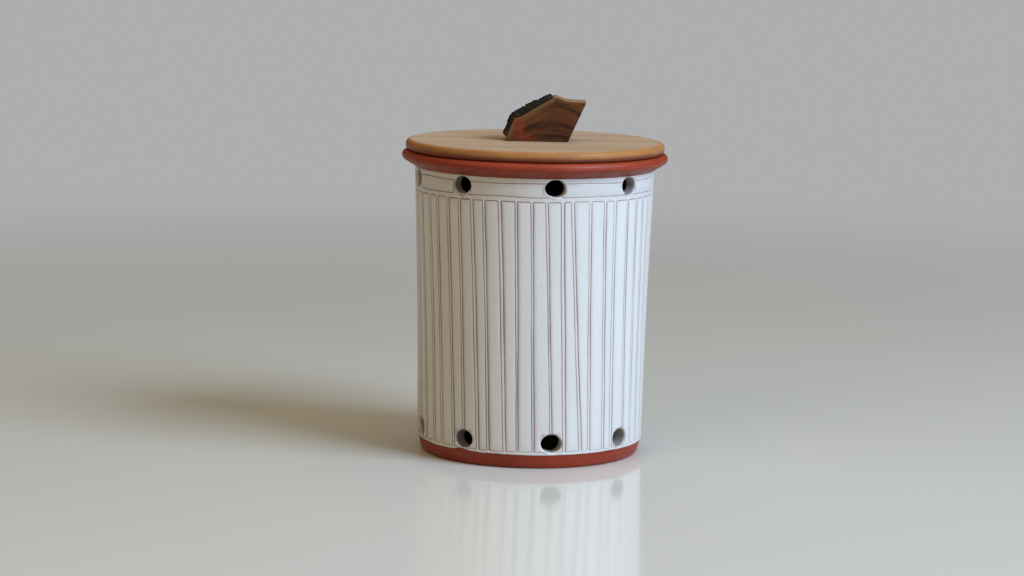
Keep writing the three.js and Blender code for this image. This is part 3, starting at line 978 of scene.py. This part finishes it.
class JAR_OT_lid_board(bpy.types.Operator):
    """Make the round wooden board that lies on the rim."""
    bl_idname = "jar.lid_board"
    bl_label = "Lid board"

    def execute(self, context):
        """The board is turned: flat below and above, with a quarter circle at each edge. Noise
        planes the top and wears the edge by a few hundredths of a millimetre."""
        lid = context.scene.jar_lid
        radius, low, high = BOARD_HIGH.x, BOARD_LOW.z, BOARD_HIGH.z
        round_over = min(lid.edge_radius, 0.48 * (high - low))
        profile = np.concatenate([
            line((1 * MM, low), (radius - 1.2 * round_over, low), 24),
            arc(radius - round_over, low + round_over, round_over, -90, 0, 12),
            arc(radius - round_over, high - round_over, round_over, 0, 90, 12),
            line((radius - 1.2 * round_over, high), (1 * MM, high), 40),
        ])
        grid = revolve(profile, COLUMNS["board"])
        planed = lumps(grid, 14 * MM, 21) * 0.5 + 0.5
        edge_share = np.clip(1 - (radius - from_axis(grid)) / (2.5 * MM), 0, 1)
        upper = grid[..., 2] > low + 0.9 * (high - low)
        grid[..., 2] -= 0.05 * MM * planed * upper
        shrink = 1 - edge_share * planed * 0.0006
        grid[..., :2] *= shrink[..., None]
        board = add_surface("wooden_lid_board", [(grid, "poles")], board_finish(lid, "pale_wood", 0.85))
        combine(board, "DIFFERENCE", screw_holes(lid.screw_gap))
        place = positions(board.data)
        rim = np.clip(1.3 - (radius - from_axis(place)) / (3.2 * MM), 0, 1)
        # How far up the edge the painted shade of the gap over the rim reaches.
        under = np.clip((0.61 - (place[:, 2] - low) / (high - low)) * 2.6, 0, 1)
        rim = np.maximum(rim * rim * (3 - 2 * rim), under * (rim > 0))
        store(board.data, "edge", rim)
        store(board.data, "under", under)
        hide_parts("lid_board")
        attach(board, "lid")
        return {"FINISHED"}


class JAR_OT_locating_disc(bpy.types.Operator):
    """Make the disc under the board that keeps the lid in place."""
    bl_idname = "jar.locating_disc"
    bl_label = "Locating disc"

    def execute(self, context):
        lid = context.scene.jar_lid
        radius, low, high = DISC_HIGH.x, DISC_LOW.z, DISC_HIGH.z
        chamfer = lid.disc_chamfer
        profile = np.concatenate([
            line((1 * MM, low), (radius - chamfer - 0.5 * MM, low), 24),
            line((radius - chamfer, low + 0.04 * MM), (radius - 0.04 * MM, low + chamfer), 5),
            line((radius, low + chamfer + 0.3 * MM), (radius, high - 0.2 * MM), 5),
            line((radius - 0.15 * MM, high), (1 * MM, high), 6),
        ])
        disc = add_surface("locating_disc", [(revolve(profile, COLUMNS["disc"]), "poles")],
                           board_finish(lid, "pale_wood_underside", 0.25))
        combine(disc, "DIFFERENCE", screw_holes(lid.screw_gap))
        place = positions(disc.data)
        rim = np.clip(1 - (radius - from_axis(place)) / (1.5 * MM), 0, 1)
        store(disc.data, "edge", rim)
        store(disc.data, "under", 0 * rim)
        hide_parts("lid_spigot")
        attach(disc, "lid")
        return {"FINISHED"}


# ---- Pieces of the knob ---------------------------------------------------------------------

# Knob outline, as shares of the base length from the base's left end and of the peak height.
LIVE_EDGE = np.array([(-0.01, 0.05), (0.05, 0.27), (0.12, 0.51), (0.24, 0.565), (0.47, 0.76),
                      (0.74, 0.98)])
SAWN_EDGE = np.array([(0.79, 1), (0.98, 0.91), (1.285, 0.89), (1, 0)])
KNOB_PEAK = WOOD_HIGH.z - WOOD_LOW.z
KNOB_BASE = (WOOD_HIGH.x - WOOD_LOW.x) / (SAWN_EDGE[2, 0] - LIVE_EDGE[0, 0])
KNOB_LEFT = WOOD_LOW.x - LIVE_EDGE[0, 0] * KNOB_BASE
# Depth of the bark at each point of the live edge, and its notches as shares of the edge's length.
BARK_DEPTH = np.array([2.4, 2, 2.3, 2.9, 2.6, 1.6]) * MM
BARK_NOTCHES = (0.17, 0.34, 0.54, 0.78)
# How the bark swells from the wood towards its full depth, in the columns beside each face.
BARK_SHOULDER = (0.12, 0.5, 0.8, 0.94, 1.0)
# Red patches in the wood: the middle as outline shares, then half width and half height.
RED_PATCHES = ((0.19, 0.30, 2.6 * MM, 6.5 * MM), (0.31, 0.06, 3.2 * MM, 2.0 * MM))


def knob_points(shares):
    """Outline shares as (x, z) places."""
    return shares * (KNOB_BASE, KNOB_PEAK) + (KNOB_LEFT, WOOD_LOW.z)


def rounded_outline(points, count, radius):
    """A closed outline resampled evenly and blurred along its length, which rounds its corners."""
    closed = np.concatenate([points, points[:1]])
    around = run_lengths(closed)[-1]
    even = along_path(closed, np.linspace(0, around, count, endpoint=False))
    reach = max(1, round(radius / (around / count)))
    weights = np.hanning(2 * reach + 3)[1:-1]
    weights /= weights.sum()
    return sum(w * np.roll(even, k - reach, axis=0) for k, w in enumerate(weights))


def path_distance(place, points):
    """Shortest distance from each (x, z) place to a path of straight runs."""
    best = np.full(len(place), 1.0)
    for start, end in zip(points[:-1], points[1:]):
        run = end - start
        share = np.clip(((place - start) @ run) / (run @ run), 0, 1)
        best = np.minimum(best, np.linalg.norm(place - start - share[:, None] * run, axis=1))
    return best


def mark_wood(knob, mesh):
    """Stores what the heartwood reads: sapwood along the live edge, the red patches and the sawn
    top between the two faces."""
    place = positions(mesh)
    flat = place[:, [0, 2]]
    live = path_distance(flat, knob_points(LIVE_EDGE)) + 0.9 * MM * lumps(place, 4 * MM, 33)
    store(mesh, "sap", np.clip(1.25 - live / (2.6 * MM), 0, 1))
    nearest = np.full(len(place), np.inf)
    for x, z, width, height in RED_PATCHES:
        off = (flat - knob_points(np.array([x, z]))) / (width, height)
        nearest = np.minimum(nearest, np.linalg.norm(off, axis=1))
    red = np.exp(-0.7 * nearest ** 2) * (1 + 0.4 * lumps(place, 3 * MM, 34))
    store(mesh, "red", np.clip(red, 0, 1))
    top = path_distance(flat, knob_points(SAWN_EDGE[:3])) < 1.2 * MM
    middle, half = (WOOD_LOW.y + WOOD_HIGH.y) / 2, (WOOD_HIGH.y - WOOD_LOW.y) / 2
    faces = np.abs(place[:, 1] - middle) > half - knob.edge_radius * 0.7
    store(mesh, "sawn", np.where(top & ~faces, 1.0, 0.0))


class JAR_OT_knob_wood(bpy.types.Operator):
    """Make the knob's figured wood."""
    bl_idname = "jar.knob_wood"
    bl_label = "Knob wood"

    def execute(self, context):
        """The slab is its outline carried from the front face to the back. Rows shrink to the
        middle of each sawn face, and a quarter circle rounds the edges between face and side."""
        knob = context.scene.jar_knob
        outline = rounded_outline(knob_points(np.concatenate([[(0, 0)], LIVE_EDGE, SAWN_EDGE])),
                                  360, knob.corner_radius)
        normals = outline_normals(outline) * -1
        middle = outline.mean(0)
        front, back = WOOD_LOW.y, WOOD_HIGH.y
        round_over = knob.edge_radius
        turn = np.radians(np.linspace(0, 90, 6))
        inset = round_over * (1 - np.sin(turn))
        rise = round_over * (1 - np.cos(turn))
        faces = np.linspace(0.08, 0.97, 16)
        sides = np.linspace(round_over, (back - front) / 2, 12)[1:]
        half = [(share, round_over, 0.0) for share in faces]
        half += [(1.0, i, r) for i, r in zip(inset, rise)]
        half += [(1.0, 0.0, r) for r in sides]
        grid = []
        for mirrored, sequence in ((False, half), (True, half[-2::-1])):
            for scale, inward, depth in sequence:
                ring = middle + (outline - normals * inward - middle) * scale
                y = back - depth if mirrored else front + depth
                grid.append(np.stack([ring[:, 0], 0 * ring[:, 0] + y, ring[:, 1]], -1))
        grid = np.stack(grid)
        sawn = lumps(grid * (0.4, 1, 1), 4 * MM, 31) * 0.5 + 0.5
        grid[..., 1] -= np.sign(grid[..., 1] - (front + back) / 2) * 0.10 * MM * sawn
        above = grid[..., 2] > WOOD_LOW.z + 1.5 * MM
        grid[..., 2] -= np.where(above, 0.12 * MM * (lumps(grid, 3 * MM, 32) * 0.5 + 0.5), 0)
        wood = add_surface("figured_knob", [(grid, "poles")], heartwood_finish(knob), 35)
        combine(wood, "DIFFERENCE", screw_holes(context.scene.jar_lid.screw_gap), 35)
        mark_wood(knob, wood.data)
        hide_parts("knob_wood")
        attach(wood, "lid")
        return {"FINISHED"}


class JAR_OT_knob_bark(bpy.types.Operator):
    """Make the rough bark along the knob's live edge."""
    bl_idname = "jar.knob_bark"
    bl_label = "Knob bark"

    def execute(self, context):
        """A rounded strip carried along the live edge. Its depth swells and sinks by noise, and
        bell-shaped notches part it into plates."""
        knob = context.scene.jar_knob
        edge = knob_points(LIVE_EDGE)
        run = run_lengths(edge)
        at = np.linspace(1.3 * MM, run[-1], 170)
        path = along_path(edge, at)
        soft = np.hanning(9)[1:-1]
        soft /= soft.sum()
        padded = np.concatenate([np.repeat(path[:1], 3, 0), path, np.repeat(path[-1:], 3, 0)])
        path = np.stack([np.convolve(padded[:, k], soft, "valid") for k in (0, 1)], -1)
        normals = outline_normals(path) * -1
        deep = np.interp(at, run, BARK_DEPTH)
        taper = np.sqrt(np.clip(np.minimum(at - at[0], run[-1] - at) / (1.1 * MM), 0.02, 1))
        half = (WOOD_HIGH.y - WOOD_LOW.y) / 2
        skin, seat = 74, 28
        across = np.concatenate([np.linspace(1, -1, skin), np.linspace(-1, 1, seat + 2)[1:-1]])
        crown = np.ones(skin - 2 * len(BARK_SHOULDER))
        outer = np.concatenate([BARK_SHOULDER, crown, BARK_SHOULDER[::-1], np.zeros(seat)])
        grid = np.empty((len(at), len(across), 3))
        grid[..., 1] = across * half * 0.985
        lift = outer * (deep * taper)[:, None]
        grid[..., ::2] = path[:, None] + normals[:, None] * lift[..., None]
        rough = (0.75 * lumps(grid, 3.0 * MM, 41) + 0.4 * lumps(grid, 1.4 * MM, 42)
                 + 0.2 * lumps(grid, 0.7 * MM, 43))
        crack = np.exp(-(lumps(grid * (1, 0.5, 1), 4.4 * MM, 44) / 0.13) ** 2)
        swell = outer * taper[:, None] * (rough * 0.7 - 0.8 * crack + 0.15) * MM
        across_wave = 0.9 * MM * lumps(grid * (0.3, 1, 0.3), 4 * MM, 46)
        for share in BARK_NOTCHES:
            off = at[:, None] - share * run[-1] + across_wave
            swell -= outer * 1.05 * MM * np.exp(-(off / (0.55 * MM)) ** 2)
        grid[..., ::2] += normals[:, None] * swell[..., None]
        side = np.sign(across) * np.clip(np.abs(across) * 8 - 7, 0, 1)
        grid[..., 1] -= side * 0.35 * MM * (lumps(grid, 2 * MM, 45) * 0.5 + 0.5)
        grid[..., 2] = np.minimum(grid[..., 2], BARK_HIGH.z)
        bark = add_surface("bark_strip", [(grid, "poles")], bark_finish(knob), 50)
        place = positions(bark.data)
        tip = np.linalg.norm(place[:, [0, 2]] - path[0], axis=1)
        store(bark.data, "tip", np.clip(1.2 - tip / (4 * MM), 0, 1))
        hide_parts("knob_bark")
        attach(bark, "lid")
        return {"FINISHED"}


class JAR_OT_screws(bpy.types.Operator):
    """Make the two countersunk wood screws that hold the knob."""
    bl_idname = "jar.screws"
    bl_label = "Knob screws"

    def execute(self, context):
        """Rows climb from the head to the point. The shank carries a helical thread: a triangle
        wave of height less azimuth. A tapered cross is sunk in the head."""
        finish = zinc_finish()
        for node, (x, bottom, top, head) in zip(SCREW_NODES, screw_boxes()):
            core, pitch = head * 0.34, 1.7 * MM
            cone = 0.4 * MM + head - core
            profile = np.concatenate([
                line((0.15 * MM, bottom), (head - 0.1 * MM, bottom), 22),
                line((head, bottom + 0.08 * MM), (head, bottom + 0.4 * MM), 3),
                line((head - 0.1 * MM, bottom + 0.5 * MM), (core, bottom + cone), 8),
                line((core, bottom + cone + 0.3 * MM), (core, top - 3 * MM), 84),
                line((core * 0.97, top - 2.9 * MM), (0.08 * MM, top), 18),
            ])
            grid = revolve(profile, COLUMNS["screw"])
            azimuth = np.linspace(0, 2 * np.pi, COLUMNS["screw"], endpoint=False)
            z = profile[:, 1:]
            turn = (z / pitch - azimuth / (2 * np.pi)) % 1
            wave = np.clip(1 - np.abs(turn - 0.5) * 3.2, 0, 1)
            threaded = np.clip((z - bottom - cone - 3 * MM) / MM, 0, 1)
            threaded *= np.clip((top - z) / (3 * MM), 0, 1)
            swell = 1 + wave * threaded * (head * 0.5 - core) / core
            grid[..., :2] *= swell[..., None]
            arm = np.abs(grid[..., :2]).min(-1)
            cross = np.clip((0.52 * MM - arm) / (0.12 * MM), 0, 1)
            cross *= np.clip((1.9 * MM - from_axis(grid)) / (0.7 * MM), 0, 1)
            face = np.abs(grid[..., 2] - bottom) < 0.02 * MM
            grid[..., 2] += np.where(face, cross * 1.5 * MM, 0)
            screw = add_surface(node.replace("knob_", "wood_"), [(grid + (x, 0, 0), "poles")], finish, 30)
            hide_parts(node)
            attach(screw, "lid")
        return {"FINISHED"}


# ---- Stage ----------------------------------------------------------------------------------

# Name, place, size, watts and tint of each lamp, and the point that all of them face.
LAMPS = (
    ("window", (2.15, -1.35, 1.7), (1.7, 1.6), 131, (0.60, 0.775, 1.0)),
    ("room_fill", (-1.5, -2.0, 1.2), (1.8, 1.5), 15, (1.0, 0.78, 0.40)),
    ("ceiling", (0.1, 0.4, 2.4), (2.4, 2.4), 20, (1.0, 0.92, 0.74)),
)
LAMP_TARGET = (0, 0, 0.09)
WORLD_TINT = (1.0, 0.88, 0.66, 1)
WORLD_STRENGTH = 0.115
FLOOR_REACH = 30.0
FLOOR_DEPTH = 0.02


def add_lamps(name, place, size, watts, tint, floor):
    """A rectangular soft lamp as two: one lights all but the floor, and one, which no mirror shows,
    lights the floor alone, so that the polished floor never glares."""
    for part, state in (("jar", "EXCLUDE"), ("floor", "INCLUDE")):
        lamp = bpy.data.lights.new(name + "_" + part, "AREA")
        lamp.shape = "RECTANGLE"
        lamp.size, lamp.size_y = size
        lamp.energy = watts
        lamp.color = tint
        holder = bpy.data.objects.new(lamp.name, lamp)
        holder.location = place
        holder.rotation_euler = (Vector(LAMP_TARGET) - Vector(place)).to_track_quat("-Z", "Y").to_euler()
        holder.visible_glossy = part == "jar"
        bpy.context.scene.collection.objects.link(holder)
        receivers = bpy.data.collections.new(lamp.name)
        receivers.objects.link(floor)
        receivers.collection_objects[0].light_linking.link_state = state
        holder.light_linking.receiver_collection = receivers


def floor_finish(studio):
    """Pale polished tabletop with a soft mirror. It throws back less light than it shows. Far
    from the jar, the camera and mirrors see the backdrop's colour in its place, so that floor and
    backdrop are one seamless sweep."""
    s = Shading("tabletop", 0.1, IOR=1.45)
    clouds = s.noise(3, 3, 0.5)
    base = s.blend(s.spread(clouds, 0.3, 0.7), tuple(c * 0.985 for c in studio.floor_colour),
                   tuple(studio.floor_colour))
    base = s.blend(seen_directly(s), tuple(c * 0.5 for c in studio.floor_colour), base)
    s.finish(base, s.spread(s.noise(9, 2, 0.5), 0.3, 0.7, 0.09, 0.12))
    away = s.node("ShaderNodeVectorMath", {0: s.place}, operation="LENGTH").outputs["Value"]
    far = s.spread(away, 0.35, 1.4)
    glow = s.node("ShaderNodeEmission", {"Color": (*studio.backdrop, 1)}).outputs[0]
    factor = s.math("MULTIPLY", far, seen_directly(s))
    mixed = s.node("ShaderNodeMixShader", {0: factor, 1: s.shader.outputs[0], 2: glow}).outputs[0]
    s.tree.links.new(mixed, s.tree.nodes["Material Output"].inputs["Surface"])
    return s.material


def seen_directly(shading):
    """1 for camera, mirror and glass rays, 0 for the rays that carry light."""
    rays = shading.node("ShaderNodeLightPath").outputs
    mirrors = shading.math("MAXIMUM", rays["Is Glossy Ray"], rays["Is Transmission Ray"])
    return shading.math("MAXIMUM", rays["Is Camera Ray"], mirrors)


class JAR_OT_studio(bpy.types.Operator):
    """Make the floor, the lamps and the camera."""
    bl_idname = "jar.studio"
    bl_label = "Studio"

    def execute(self, context):
        scene, studio = context.scene, context.scene.jar_studio
        profile = np.array([(0.05, -FLOOR_DEPTH), (FLOOR_REACH, -FLOOR_DEPTH), (FLOOR_REACH, 0),
                            (0.05, 0)])
        grid = revolve(profile, COLUMNS["floor"])
        floor = add_surface("floor", [(grid, "poles")], floor_finish(studio))
        for lamp in LAMPS:
            add_lamps(*lamp, floor)
        world = bpy.data.worlds.new("studio")
        world.use_nodes = True
        background = world.node_tree.nodes["Background"].inputs
        background["Color"].default_value = WORLD_TINT
        background["Strength"].default_value = WORLD_STRENGTH
        scene.world = world
        scene.view_settings.view_transform = "Standard"
        lens = bpy.data.cameras.new("camera")
        lens.sensor_width = 36
        lens.lens = studio.lens
        camera = bpy.data.objects.new("camera", lens)
        level = Euler((math.pi / 2 - studio.pitch, 0, studio.yaw)).to_matrix()
        roll = Matrix.Rotation(studio.roll, 3, "Z")
        camera.location = (0, -studio.distance, studio.height)
        camera.rotation_euler = (level @ roll).to_euler()
        scene.collection.objects.link(camera)
        scene.camera = camera
        return {"FINISHED"}


# ---- Panel and registration -----------------------------------------------------------------

OPERATORS = (JAR_OT_studio, JAR_OT_clay, JAR_OT_coat, JAR_OT_lid_board, JAR_OT_locating_disc,
             JAR_OT_knob_wood, JAR_OT_knob_bark, JAR_OT_screws)
SETTINGS = {"jar_clay": ClaySettings, "jar_coat": CoatSettings, "jar_lid": LidSettings,
            "jar_knob": KnobSettings, "jar_studio": StudioSettings}


class JAR_PT_pieces(bpy.types.Panel):
    """Sizes, colours and the buttons that make the pieces."""
    bl_idname = "JAR_PT_pieces"
    bl_label = "Ventilated jar"
    bl_space_type = "VIEW_3D"
    bl_region_type = "UI"
    bl_category = "Jar"

    def draw(self, context):
        for name, group in SETTINGS.items():
            box = self.layout.box()
            for field in group.__annotations__:
                box.prop(getattr(context.scene, name), field)
        for operator in OPERATORS:
            self.layout.operator(operator.bl_idname)


CLASSES = (*SETTINGS.values(), *OPERATORS, JAR_PT_pieces)


def register():
    for cls in CLASSES:
        bpy.utils.register_class(cls)
    for name, group in SETTINGS.items():
        setattr(bpy.types.Scene, name, PointerProperty(type=group))


def unregister():
    for name in SETTINGS:
        delattr(bpy.types.Scene, name)
    for cls in reversed(CLASSES):
        bpy.utils.unregister_class(cls)


def main():
    register()
    for operator in OPERATORS:
        family, name = operator.bl_idname.split(".")
        getattr(getattr(bpy.ops, family), name)()


if __name__ == "__main__":
    main()
